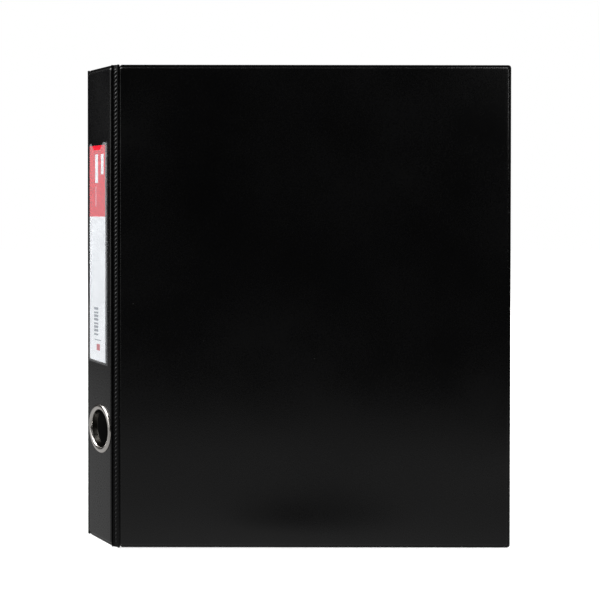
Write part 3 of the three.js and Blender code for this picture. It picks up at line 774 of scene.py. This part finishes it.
def label_card():
    marks = []  # (y0, y1, z0, z1, material) in label coordinates: y from its front edge, z from its foot
    W, HH = L1 - L0, LZ1 - LZ0

    def mk(y0, y1, z0, z1, m):
        marks.append((L0 + y0, L0 + y1, LZ0 + z0, LZ0 + z1, m))
    # red head
    red0 = RED_Z - LZ0
    # white bars where a title would go
    mk(2.2, 6.2, HH - 19.6, HH - 6.0, 1)
    mk(10.6, 15.0, HH - 25.2, HH - 6.0, 1)
    mk(13.4, 14.4, HH - 41.0, HH - 27.5, 5)
    # pale ruling on the white field
    for k in range(8):
        y = 2.6 + k * 2.6
        mk(y, y + 0.2, 40.0, red0 - 3.0, 2)
    for z in (40.0, 54.0, 68.0, 82.0, red0 - 3.0):
        mk(2.6, 21.0, z, z + 0.2, 2)
    # stripe block, a bar below it and a round mark
    for k in range(8):
        z = 17.6 + k * 2.45
        mk(10.4, 16.8, z, z + (1.7 if k % 3 else 1.2), 3)
    mk(6.4, 16.0, 14.2, 14.9, 3)
    mk(8.0, 13.0, 7.4, 11.8, 4)
    ys = {L0, L1}
    zs = {LZ0, LZ1, RED_Z}
    for y0, y1, z0, z1, m in marks:
        ys |= {y0, y1}
        zs |= {z0, z1}
    ys, zs = sorted(ys), sorted(zs)

    def dense(a, step):
        out = []
        for p, q in zip(a, a[1:]):
            n = max(1, int((q - p) / step))
            out += [p + (q - p) * i / n for i in range(n)]
        return out + [a[-1]]
    ys, zs = dense(ys, 2.0), dense(zs, 3.0)
    verts, faces, idx = [], [], []
    x_out, x_in = -FACE - 0.5, -FACE - 0.22

    def bow(y, z):
        t = (z - LZ0) / (LZ1 - LZ0)
        u = (y - L0) / (L1 - L0)
        return -0.05 * math.sin(math.pi * u) - 0.05 * math.sin(math.pi * t * 3.0)
    ny, nz = len(ys), len(zs)
    for x in (x_out, x_in):
        for z in zs:
            for y in ys:
                slant = 0.9 * (y - L0) / (L1 - L0) * max(0.0, 1 - (z - LZ0) / 12.0)
                verts.append((x + bow(y, z), y, z + slant))
    for j in range(nz - 1):
        for i in range(ny - 1):
            a = j * ny + i
            yc, zc = (ys[i] + ys[i + 1]) / 2, (zs[j] + zs[j + 1]) / 2
            m = 0 if zc > RED_Z else 1
            for y0, y1, z0, z1, mm in marks:
                if y0 < yc < y1 and z0 < zc < z1:
                    m = mm
            faces.append((a, a + ny, a + ny + 1, a + 1))
            idx.append(m)
            b = ny * nz + a
            faces.append((b, b + 1, b + ny + 1, b + ny))
            idx.append(1)
    L = ny * nz
    for j in range(nz - 1):
        for i in (0, ny - 1):
            a = j * ny + i
            faces.append((a, a + ny, L + a + ny, L + a))
            idx.append(1)
    for j in (0, nz - 1):
        for i in range(ny - 1):
            a = j * ny + i
            faces.append((a, a + 1, L + a + 1, L + a))
            idx.append(1)
    return make("label_card", verts, faces, F_SPINE, [INK_RED, INK_WHITE, INK_PALE, INK_GREY, INK_MARK, card("label_head_line", (0.86, 0.45, 0.5))], idx=idx, sharp=60)


p = label_card()
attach(p, "label"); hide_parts("label_insert")


def pocket():
    """Clear film pocket: a sheet with a scooped top edge, standing over the card, pressed down along its welds."""
    W = P1 - P0
    ny, nz = 44, 150
    ym = (L0 + L1) / 2

    def top(y):
        """height of the top edge: two ears, scooped down to the flat of the notch between them"""
        d = abs(y - ym)
        if y > ym:
            ear = 9.4
        else:
            ear = 12.6
        if d < 4.4:
            return PZ1 - 4.7
        if d < ear:
            t = (d - 4.4) / (min(ear, 9.6) - 4.4)
            t = min(1.0, t)
            return PZ1 - 4.7 * (1 - (t * t * (3 - 2 * t)))
        return PZ1 - 0.25 * (d - ear) * (1 if y > ym else 0.6)
    verts, faces, idx = [], [], []

    def lift(u, v, y, z):
        """how far the film stands off the spine; u and v are not used, the distances from the side welds and the foot
        weld come from y and z
        """
        side = min(y - P0, P1 - y)
        foot = z - PZ0 - 0.9 * ((y - P0) / (P1 - P0)) ** 1.5
        a = min(1.0, max(0.0, (side - 0.9) / 1.2))
        b = min(1.0, max(0.0, (foot - 0.7) / 0.8))
        a, b = a * a * (3 - 2 * a), b * b * (3 - 2 * b)
        w = 0.10 * noise.noise(Vector((y * 0.08, z * 0.05, 3.3)))
        return 0.12 + 0.56 * a * b + w * a * b
    for layer in (1, 0):
        for j in range(nz + 1):
            for i in range(ny + 1):
                t = i / ny
                y = P0 + W * t
                zt = top(y)
                v = (j / nz) ** 1.25
                foot = PZ0 + 0.9 * t ** 1.5
                z = foot + (zt - foot) * v
                h = lift(0, 0, y, z)
                weld = 0.0
                if min(y - P0, P1 - y) < 0.9 or z - foot < 0.8:
                    weld = 0.025 * (0.5 + 0.5 * math.sin(z * 2 * math.pi / 1.2 + y * 2 * math.pi / 1.2))
                x = -FACE - h - (0.18 if layer else 0.0) - (weld if layer else 0)
                verts.append((x, y, z))
    n1 = ny + 1
    L = n1 * (nz + 1)
    for j in range(nz):
        for i in range(ny):
            a = j * n1 + i
            side = min(i, ny - 1 - i) * W / ny
            m = 1 if side < 1.0 or (PZ1 - PZ0) * ((j + 0.5) / nz) ** 1.25 < 1.7 else 0
            faces.append((a, a + n1, a + n1 + 1, a + 1))
            idx.append(m)
            b = L + a
            faces.append((b, b + 1, b + n1 + 1, b + n1))
            idx.append(m)
    for j in range(nz):
        for i in (0, ny):
            a = j * n1 + i
            faces.append((a, a + n1, L + a + n1, L + a))
            idx.append(0)
    for j in (0, nz):
        for i in range(ny):
            a = j * n1 + i
            faces.append((a, a + 1, L + a + 1, L + a))
            idx.append(0)
    return make("label_pocket", verts, faces, F_SPINE, [FILM, WELD], idx=idx, sharp=60)


p = pocket()
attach(p, "spine"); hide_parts("label_pocket_film")

# ---------------------------------------------------------------- ring mechanism (x from its centre line, h above the cover)
CASE_HALF = 137.0
PITCH_R = 80.0
PIVOT_X, PIVOT_H = 9.2, 4.0
TILT = 7.5
BLADE_T = 0.9
ring_z = [MID + k * PITCH_R for k in (-1.5, -0.5, 0.5, 1.5)]
RIVETS = (("upper", MID + 80.0), ("lower", MID - 80.0))


def cutter_prism(outline, lo, hi, fr):
    """A cutting solid: an outline in local (x, y) between two local z heights, as a bare object."""
    n = len(outline)
    me = bpy.data.meshes.new("cutter")
    me.from_pydata([Vector((x, y, lo)) for x, y in outline] + [Vector((x, y, hi)) for x, y in outline], [],
                   [tuple(range(n))[::-1], tuple(range(n, 2 * n))] + [(i, (i + 1) % n, n + (i + 1) % n, n + i) for i in range(n)])
    me.transform(MM @ fr)
    bm = bmesh.new()
    bm.from_mesh(me)
    bmesh.ops.recalc_face_normals(bm, faces=bm.faces)
    bm.to_mesh(me)
    bm.free()
    o = bpy.data.objects.new("cutter", me)
    bpy.context.scene.collection.objects.link(o)
    return o


def boolean(o, others, kind="DIFFERENCE", sharp=35):
    for k in others:
        md = o.modifiers.new("cut", "BOOLEAN")
        md.operation = kind
        md.solver = "EXACT"
        md.object = k
    bpy.context.view_layer.update()
    apply_modifiers(o, sharp=sharp)
    for k in others:
        me = k.data
        bpy.data.objects.remove(k)
        bpy.data.meshes.remove(me)
    return o


def stadium(cx, cy, hx, hy, r, n=7):
    return rrect(cx - hx, cx + hx, cy - hy, cy + hy, r, 1, 1, n)


def circle(cx, cy, r, n=40):
    return [(cx + r * math.cos(2 * math.pi * i / n), cy + r * math.sin(2 * math.pi * i / n)) for i in range(n)]


# F_UP: local (x, y, z) is the mechanism's (x, z, h). F_SIDE: local (x, y, z) is its (-z, y, x).
F_UP = F_MECH @ Matrix.Rotation(math.radians(90), 4, "X")
F_SIDE = F_MECH @ Matrix.Rotation(math.radians(90), 4, "Y")


def casing():
    out = [(-8.6, 2.2), (-9.5, 2.2), (-10.2, 2.45), (-10.6, 3.1), (-10.65, 4.0), (-10.55, 5.0), (-10.15, 5.95), (-9.4, 6.72),
           (-7.9, 7.3), (-5.6, 7.82), (-3.0, 8.1), (0.0, 8.2)]
    out += [(-x, h) for x, h in out[-2::-1]]
    line = spline([(x, h, 0) for x, h in out], 3)
    # a constant wall, offset inwards from the outer line
    pts = [(v.x, v.y) for v in line]
    inner = []
    for i, (x, h) in enumerate(pts):
        x0, h0 = pts[max(0, i - 1)]
        x1, h1 = pts[min(len(pts) - 1, i + 1)]
        L = math.hypot(x1 - x0, h1 - h0)
        nx, nh = (h1 - h0) / L, -(x1 - x0) / L
        inner.append((x + nx * 0.78, h + nh * 0.78))
    section = pts + inner[::-1]
    n = len(section)
    zs = []
    z = MID - CASE_HALF
    zs = [MID - CASE_HALF + 0.0, MID - CASE_HALF + 0.12, MID - CASE_HALF + 0.4]
    k = 90
    zs += [MID - CASE_HALF + 0.4 + (2 * CASE_HALF - 0.8) * i / k for i in range(1, k)]
    zs += [MID + CASE_HALF - 0.4, MID + CASE_HALF - 0.12, MID + CASE_HALF]
    verts, faces = [], []
    for j, z in enumerate(zs):
        edge = min(z - zs[0], zs[-1] - z)
        e = 0.12 if edge < 0.01 else (0.03 if edge < 0.2 else 0.0)
        for i, (x, h) in enumerate(section):
            xx, hh = x, h
            # pressed edges are softened, so the end rings shrink a little towards the wall's middle
            m = n - 1 - i
            ox, oh = section[m]
            xx += (ox - x) * e
            hh += (oh - h) * e
            # a shallow dish round each rivet
            if hh > 5.2:
                for _, rz in RIVETS:
                    d = math.hypot(xx, z - rz)
                    t = min(1.0, max(0.0, (6.4 - d) / 2.2))
                    hh -= 0.26 * t * t * (3 - 2 * t)
            verts.append((xx, -hh, z))
    for j in range(len(zs) - 1):
        for i in range(n):
            i2 = (i + 1) % n
            faces.append((j * n + i, j * n + i2, (j + 1) * n + i2, (j + 1) * n + i))
    half = len(pts)
    for j in (0, len(zs) - 1):
        for i in range(half - 1):
            a, b = j * n + i, j * n + i + 1
            faces.append((a, b, j * n + n - 2 - i, j * n + n - 1 - i))
    o = make("ring_casing_pressing", verts, faces, F_MECH, [NICKEL], sharp=40)
    cuts = []
    for z in ring_z:
        for x in (-6.9, 6.9):
            cuts.append(cutter_prism(stadium(x, z, 2.9, 2.35, 2.1), 5.0, 12.0, F_UP))
    for _, z in RIVETS:
        cuts.append(cutter_prism(circle(0, z, 2.15), 5.0, 12.0, F_UP))
    for k in (-1, 1):
        zp = MID + k * (CASE_HALF - 1.5)
        cuts.append(cutter_prism(circle(-zp, -PIVOT_H, 1.05, 32), -12, 12, F_SIDE))
        z0, z1 = MID + k * CASE_HALF - 4.6, MID + k * CASE_HALF + 4.6
        cuts.append(cutter_prism(stadium(0, (z0 + z1) / 2, 7.4, 4.6, 1.6), 5.2, 12.0, F_UP))
    boolean(o, cuts, sharp=32)
    return o


p = casing()
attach(p, "back_cover"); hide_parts("ring_casing")

for where, z in RIVETS:
    F_R = F_UP @ T(0, z)
    base = -2 * FACE - 0.05
    prof = [(0.0, base - 1.08)] + [(x, base + y) for x, y in ((0.9, -1.06), (1.9, -1.0), (2.9, -0.88), (3.7, -0.68), (4.25, -0.42), (4.55, -0.16), (4.6, 0.0))]
    prof += [(4.3, base + 0.02), (2.0, base + 0.02), (1.95, base + 0.2), (1.95, 7.9), (2.0, 7.96), (3.2, 7.98), (3.55, 8.08)]
    prof += [(3.62, 8.3), (3.5, 8.56), (3.1, 8.82), (2.5, 8.98), (1.9, 9.0), (1.5, 8.86), (1.28, 8.5), (1.2, 7.6), (0.9, 7.1), (0.0, 7.0)]
    p = lathe("cover_rivet_" + where, prof, F_R, [STEEL], seg=64, sharp=45)
    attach(p, "back_cover"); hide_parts("rivet_" + where)
    prof = [(2.2, 0.2), (2.35, 0.05), (3.15, 0.05), (3.3, 0.2), (3.3, 1.0), (3.22, 1.2), (3.22, 6.0), (3.3, 6.2), (3.3, 6.9), (3.15, 7.05), (2.35, 7.05), (2.2, 6.9)]
    p = lathe("casing_post_" + where, prof, F_R, [STEEL], seg=64, sharp=45)
    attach(p, "back_cover"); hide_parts("rivet_post_" + where)

for where, k in (("top", 1), ("bottom", -1)):
    zp = MID + k * (CASE_HALF - 1.5)
    F_P = F_SIDE @ T(-zp, -PIVOT_H)
    head = [(0.0, 11.5), (0.7, 11.48), (1.15, 11.38), (1.45, 11.18), (1.5, 10.98), (1.42, 10.88), (0.95, 10.86), (0.88, 10.7)]
    prof = [(0.0, -11.5)] + [(r, -h) for r, h in head[1:]] + [(r, h) for r, h in head[::-1]]
    p = lathe("lever_hinge_pin_" + where, prof, F_P, [STEEL], seg=32, sharp=45)
    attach(p, "back_cover"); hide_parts("lever_pin_" + where)

# D rings: the straight leg is on the fore-edge side
TIP = 3.6
CLOSED = {
    1: [(7.6, 8.6), (9.4, 10.6), (11.6, 13.0), (12.6, 15.6), (12.7, 19.0), (12.7, 23.0), (12.5, 26.6), (11.2, 29.6), (8.6, 31.4),
        (6.2, 31.9), (TIP + 0.05, 32.0)],
    -1: [(-7.8, 8.6), (-9.8, 10.8), (-12.0, 13.8), (-13.3, 17.6), (-12.9, 21.6), (-10.9, 25.6), (-7.6, 28.9), (-3.6, 31.1),
         (0.4, 31.95), (TIP - 0.05, 32.0)],
}
for side in (-1, 1):
    F_BLADE = F_MECH @ T(side * PIVOT_X, -PIVOT_H) @ Rz(-side * TILT)
    a = math.radians(side * TILT)
    body = "spine_side_blade" if side < 0 else "fore_side_blade"
    inward = -side
    pts = [(2.6 * inward, -(BLADE_T / 2 + 0.1), 0), (2.6 * inward, -(BLADE_T / 2 + 1.4), 0), (2.5 * inward, -(BLADE_T / 2 + 2.7), 0)]
    for du, h in CLOSED[side]:
        x, y = du - side * PIVOT_X, -(h - PIVOT_H)
        pts.append((x * math.cos(a) - y * math.sin(a), x * math.sin(a) + y * math.cos(a), 0))
    path = spline(pts, 7)
    for i, z in enumerate(ring_z):
        fr = F_BLADE @ T(0, 0, z)
        wire = tube("wire", path, 1.8, fr, [RINGM], seg=28, cap=0.0, sharp=40)
        # tenon through the blade, peened over behind it
        F_T = fr @ T(2.6 * inward, 0) @ Matrix.Rotation(math.radians(90), 4, "X")
        ten = lathe("tenon", [(0.0, BLADE_T / 2 + 1.2), (1.1, BLADE_T / 2 + 1.2), (1.1, -BLADE_T / 2 - 0.08), (1.6, -BLADE_T / 2 - 0.1),
                              (1.7, -BLADE_T / 2 - 0.25), (1.5, -BLADE_T / 2 - 0.45), (0.9, -BLADE_T / 2 - 0.56), (0.0, -BLADE_T / 2 - 0.58)],
                    F_T, [RINGM], seg=28, sharp=40)
        boolean(wire, [ten], "UNION", sharp=40)
        node = "ring_%d_%s_half" % (i + 1, "spine" if side < 0 else "fore")
        wire.name = "d_ring_%d_%s_wire" % (i + 1, "spine" if side < 0 else "fore")
        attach(wire, body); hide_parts(node)

    # blades: flat pressed steel strips; the pivot edge rocks in the casing's curl
    zb0, zb1 = MID - CASE_HALF + 4.7, MID + CASE_HALF - 4.7
    W = 9.05
    outline = [(-0.35, 0.0), (0.2, 0.42), (0.9, 0.45), (W - 0.5, 0.45), (W - 0.1, 0.38), (W, 0.15), (W, -0.15), (W - 0.1, -0.38),
               (W - 0.5, -0.45), (0.9, -0.45), (0.2, -0.42)]
    strip = prism("blade", [(x * inward, y) for x, y in outline], zb0, zb1, F_BLADE, [STEEL], bevel=0.0, sharp=30)
    F_BU = F_BLADE @ Matrix.Rotation(math.radians(90), 4, "X")
    cuts = [cutter_prism(circle(2.6 * inward, z, 1.25, 28), -3, 3, F_BU) for z in ring_z]
    cuts += [cutter_prism(circle(PIVOT_X * inward, z, 4.2, 48), -3, 3, F_BU) for _, z in RIVETS]
    # lightening slots between the rings
    cuts += [cutter_prism(stadium(5.4 * inward, MID + k * 40.0, 1.1, 9.0, 1.05), -3, 3, F_BU) for k in (-2.0 - 0.55, 0.0, 2.0 + 0.55)]
    boolean(strip, cuts, sharp=30)
    strip.name = "steel_blade_" + ("spine_side" if side < 0 else "fore_side")
    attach(strip, body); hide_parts("blade_spine_side" if side < 0 else "blade_fore_side")


def ribbon(name, path, width, thick, fr, mats, bumps=None):
    """A pressed strip of metal along a line in local (z, h), centred on x = 0, with round edges.
    width and thick are functions of the distance along the line; bumps raises the outer side."""
    P = [Vector((q[0], q[1])) for q in path]
    dist = [0.0]
    for q, r in zip(P, P[1:]):
        dist.append(dist[-1] + (r - q).length)
    total = dist[-1]
    ring = []
    m = 5
    verts, faces = [], []
    prev = None
    first = last = None
    for i, q in enumerate(P):
        t = (P[min(len(P) - 1, i + 1)] - P[max(0, i - 1)]).normalized()
        nrm = Vector((t.y, -t.x))  # towards +z (outwards) for a line going up
        w, th = width(dist[i], total), thick(dist[i], total)
        r = min(th / 2 * 0.98, w * 0.98)
        start = len(verts)
        cs = rrect(-w, w, -th / 2, th / 2, r, 6, 1, m)
        for x, y in cs:
            up = bumps(x, dist[i], total) if (bumps and y > 0) else 0.0
            c = q + nrm * (y + up)
            verts.append((x, -c.y, c.x))
        cnt = len(cs)
        if prev is not None:
            for k in range(cnt):
                j = (k + 1) % cnt
                faces.append((prev + k, prev + j, start + j, start + k))
        else:
            faces.append(tuple(start + k for k in range(cnt)))
        prev = start
    faces.append(tuple(prev + k for k in range(cnt)))
    return make(name, verts, faces, fr, mats, sharp=50)


for where, k in (("top", 1), ("bottom", -1)):
    zp = MID + k * (CASE_HALF - 1.5)
    F_L = F_MECH @ T(0, 0, zp) @ (Matrix.Scale(-1, 4, (0, 0, 1)) if k < 0 else Matrix.Identity(4))
    line = [(q.x, q.y) for q in spline([(1.75, 4.6, 0), (2.6, 6.3, 0), (2.88, 8.4, 0), (2.9, 12.0, 0), (2.9, 17.0, 0), (2.95, 21.4, 0), (3.5, 24.2, 0), (5.0, 26.25, 0)], 9)]

    def wide(d, total):
        e = total - d
        w = 6.2
        if e < 4.2:
            w = 6.2 - 4.2 + math.sqrt(max(0.0, 4.2 ** 2 - (4.2 - e) ** 2)) * 1.0
            w = max(w, 2.0)
        if d < 9.0:
            t = max(0.0, min(1.0, (d - 3.0) / 6.0))
            w = 6.2 - 0.9 * math.sin(math.pi * t) ** 2
        return w

    def thick(d, total):
        e = total - d
        return 1.36 if e > 0.5 else 0.9 + 0.46 * e / 0.5

    def grip(x, d, total):
        e = total - d
        if 1.6 < e < 8.2 and abs(x) < 4.6:
            ph = (e - 1.6) / 6.6 * 4
            return 0.20 * math.sin(math.pi * (ph % 1.0)) ** 2 * min(1.0, (4.6 - abs(x)) / 0.8)
        return 0.0
    handle = ribbon("handle", line, wide, thick, F_L, [RINGM], grip)
    hub = [(-2.7, 2.1), (-2.1, 3.4), (-1.7, 4.9), (-0.9, 5.5), (0.8, 5.75), (1.7, 6.3), (2.3, 6.9), (3.3, 6.6), (3.25, 5.6), (2.6, 4.2), (1.4, 2.6),
           (0.2, 1.9), (-1.6, 1.22), (-2.6, 1.22)]
    # (z, h) -> local x = z, local y = h, extruded along x
    F_H = F_L @ Matrix(((0, 0, 1, 0), (0, -1, 0, 0), (1, 0, 0, 0), (0, 0, 0, 1)))
    block = prism("hub", hub, -6.2, 6.2, F_H, [RINGM], bevel=0.25, seg=2, sharp=30)
    tongue = prism("tongue", [(-4.4, 1.3), (-4.3, 1.22), (-2.0, 1.22), (-2.0, 2.08), (-4.3, 2.03), (-4.4, 1.95)], -3.2, 3.2, F_H, [RINGM], bevel=0.0, sharp=30)
    notch = [cutter_prism([(-3.4, 0.9), (-1.9, 0.9), (-1.9, 3.05), (-3.4, 3.05)], sgn * 3.2, sgn * 7.5, F_H) for sgn in (-1, 1)]
    boolean(block, notch, sharp=30)
    boolean(block, [tongue, handle], "UNION", sharp=35)
    boolean(block, [cutter_prism(circle(0, PIVOT_H, 1.02, 32), -8, 8, F_H)], sharp=35)
    block.name = "ring_lever_" + where
    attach(block, where + "_lever"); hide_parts("lever_" + where)

# carried-over boards
for n in ("front_cover_board", "back_cover_board", "spine_board"):
    o = frame["nodes"][n]
    o.data.materials.clear()
    o.data.materials.append(BOARD)

# ---------------------------------------------------------------- floor, light, camera


def area(name, loc, target, sx, sy, power, colour=(1, 1, 1)):
    l = bpy.data.lights.new(name, "AREA")
    l.shape = "RECTANGLE"
    l.size, l.size_y = sx, sy
    l.energy = power
    l.color = colour
    o = bpy.data.objects.new(name, l)
    bpy.context.scene.collection.objects.link(o)
    o.visible_camera = False
    o.location = loc
    o.rotation_mode = "QUATERNION"
    o.rotation_quaternion = (Vector(target) - Vector(loc)).to_track_quat("-Z", "Y")
    return o


bm = bmesh.new()
bmesh.ops.create_grid(bm, x_segments=1, y_segments=1, size=6.0)
me = bpy.data.meshes.new("floor")
bm.to_mesh(me)
bm.free()
floor = bpy.data.objects.new("floor", me)
bpy.context.scene.collection.objects.link(floor)
# The floor is a white paper sweep. The lens sees it overexposed to white, with the object's soft shadow; everything
# else sees a glowing sheet with a painted pool of light on it: pale grey close by, ending about a metre away, with a
# dark room beyond.
fm, nt, out = new_mat("floor_paper")
tc = N(nt, "ShaderNodeTexCoord")
sep = N(nt, "ShaderNodeSeparateXYZ")
nt.links.new(tc.outputs["Object"], sep.inputs[0])


def math_node(nt, op, a, b=None):
    n = nt.nodes.new("ShaderNodeMath")
    n.operation = op
    for sock, v in ((n.inputs[0], a), (n.inputs[1], b)):
        if v is None:
            continue
        if hasattr(v, "links"):
            nt.links.new(v, sock)
        else:
            sock.default_value = v
    return n.outputs[0]


r2 = math_node(nt, "ADD", math_node(nt, "POWER", math_node(nt, "ADD", sep.outputs["X"], 0.10), 2.0),
               math_node(nt, "POWER", math_node(nt, "ADD", sep.outputs["Y"], -0.40), 2.0))
rad = math_node(nt, "SQRT", r2)
glow = ramp(nt, math_node(nt, "MULTIPLY", rad, 0.25), [(0.12, 0.60), (0.32, 1.05)])
paper = N(nt, "ShaderNodeBsdfPrincipled", Roughness=0.9)
paper.inputs["Base Color"].default_value = (0.55, 0.55, 0.55, 1)
paper.inputs["Specular IOR Level"].default_value = 0.0
paper.inputs["Emission Color"].default_value = (1, 1, 1, 1)
nt.links.new(glow, paper.inputs["Emission Strength"])
sheet = N(nt, "ShaderNodeEmission")
# painted light: the sheet glows, bright to about 0.5 m from its centre, dimmer round 0.65 m, bright again round 0.8 m,
# and dark past about a metre
painted_floor_light = ramp(nt, math_node(nt, "MULTIPLY", rad, 0.25), [(0.12, 0.44), (0.16, 0.27), (0.20, 0.42), (0.24, 0.06), (0.28, 0.01), (0.33, 0.01), (0.40, 0.04)])
# a darker patch of the sheet in front of the cover, where something stands between it and the light
px = math_node(nt, "MULTIPLY", math_node(nt, "ADD", sep.outputs["X"], -0.013), 12.5)
py = math_node(nt, "MULTIPLY", math_node(nt, "ADD", sep.outputs["Y"], 0.178), 21.0)
pr = math_node(nt, "SQRT", math_node(nt, "ADD", math_node(nt, "POWER", px, 2.0), math_node(nt, "POWER", py, 2.0)))
patch = ramp(nt, pr, [(0.22, 0.10), (1.0, 1.0)])
nt.links.new(mix(nt, 1.0, painted_floor_light, patch, "MULTIPLY"), sheet.inputs["Color"])
lp = N(nt, "ShaderNodeLightPath")
pick = N(nt, "ShaderNodeMixShader")
nt.links.new(lp.outputs["Is Camera Ray"], pick.inputs["Fac"])
nt.links.new(sheet.outputs[0], pick.inputs[1])
nt.links.new(paper.outputs[0], pick.inputs[2])
nt.links.new(pick.outputs[0], out.inputs["Surface"])
me.materials.append(fm)
floor.location.z = -0.0006

w = bpy.data.worlds.new("studio")
bpy.context.scene.world = w
w.use_nodes = True
wn = w.node_tree
wn.nodes.clear()
wo = wn.nodes.new("ShaderNodeOutputWorld")
lp = wn.nodes.new("ShaderNodeLightPath")
white = wn.nodes.new("ShaderNodeBackground")
white.inputs["Color"].default_value = (1, 1, 1, 1)
room = wn.nodes.new("ShaderNodeBackground")
tc = wn.nodes.new("ShaderNodeTexCoord")
sx = wn.nodes.new("ShaderNodeSeparateXYZ")
wn.links.new(tc.outputs["Generated"], sx.inputs[0])
room_tone = ramp(wn, sx.outputs["Z"], [(0.0, 0.004), (0.25, 0.035), (0.55, 0.045), (1.0, 0.06)])
wn.links.new(room_tone, room.inputs["Color"])
room.inputs["Strength"].default_value = 1.0
pick = wn.nodes.new("ShaderNodeMixShader")
wn.links.new(lp.outputs["Is Camera Ray"], pick.inputs["Fac"])
wn.links.new(room.outputs[0], pick.inputs[1])
wn.links.new(white.outputs[0], pick.inputs[2])
wn.links.new(pick.outputs[0], wo.inputs["Surface"])

area("softbox_left", (-1.50, -0.40, 1.70), (-0.12, -0.07, 0.16), 1.9, 1.7, 86)
area("softbox_left_low", (-1.20, -0.25, 0.35), (-0.14, -0.07, 0.2), 0.6, 0.9, 2.6)
area("softbox_front_right", (0.66, -1.05, 0.76), (0.0, -0.09, 0.3), 0.6, 0.72, 0.85)
area("softbox_ceiling", (0.46, -0.05, 1.0), (0.22, -0.09, 0.31), 0.5, 0.4, 3.0)
area("softbox_back", (0.6, 1.6, 1.4), (0, 0, 0.15), 1.4, 1.0, 22)
area("softbox_right", (1.6, 0.55, 0.9), (0, 0, 0.15), 1.0, 1.0, 16)

sc = bpy.context.scene
sc.view_settings.view_transform = "Standard"
sc.view_settings.look = "None"
sc.view_settings.exposure = 0.0

cam = bpy.data.objects.new("camera", bpy.data.cameras.new("camera"))
sc.collection.objects.link(cam)
sc.camera = cam
cam.data.sensor_width = 36.0
# placed from the front crease, so that it follows the part's origin
YAW, PITCH, ROLL, FOCAL, SHIFT_Y = -0.006, -0.660, 0.069, 1087.2, -0.12
cam.location = (crease.x / 1000 + 0.12333, crease.y / 1000 - 0.71746, 0.2191)
cam.rotation_mode = "QUATERNION"
cam.rotation_quaternion = (Rz(-YAW) @ Matrix.Rotation(math.radians(90 + PITCH), 4, "X") @ Rz(ROLL)).to_quaternion()
cam.data.lens = 36.0 * FOCAL / 600
cam.data.shift_y = SHIFT_Y
cam.data.clip_start, cam.data.clip_end = 0.01, 50
cam.data.dof.use_dof = False
